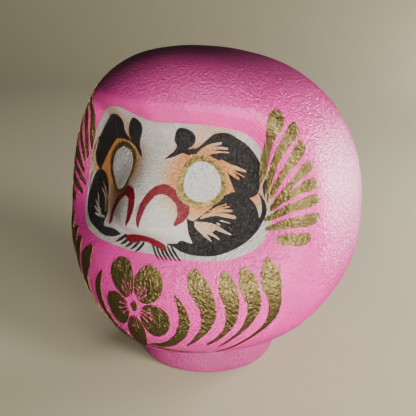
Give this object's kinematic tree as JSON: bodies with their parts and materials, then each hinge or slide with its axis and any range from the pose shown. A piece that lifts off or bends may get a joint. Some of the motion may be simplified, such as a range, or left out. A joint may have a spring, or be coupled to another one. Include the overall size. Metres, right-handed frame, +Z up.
{
  "type": "daruma doll",
  "caption": "Round weighted papier-mache wishing doll with a hooded face hollow, a broad nose and a round standing foot; hollow body made of a front and a rear shell.",
  "frame": {"origin": "centre of the foot's underside, on the surface the doll stands on", "axes": "+Z up; the face looks along -Y; +X is the doll's left-hand side"},
  "size_m": [0.157, 0.1406, 0.164],
  "materials": {
    "pink_lacquer": "satin lacquer over wrinkled paper",
    "white_paint": "matte face paint with a soft orange flush",
    "black_paint": "semi-matte brushed paint",
    "red_paint": "semi-matte brushed paint",
    "gold_paint": "metallic paint, slightly grainy",
    "bare_paper": "unpainted pulp paper and card",
    "clay": "dried unglazed clay"
  },
  "bodies": {
    "root": {"front_shell": "pink_lacquer", "rear_shell": "pink_lacquer", "foot_ring": "pink_lacquer", "seam_strip_left": "bare_paper", "seam_strip_right": "bare_paper", "seam_strip_crown": "bare_paper", "base_weight": "clay", "base_cover": "bare_paper"}
  },
  "joints": []
}
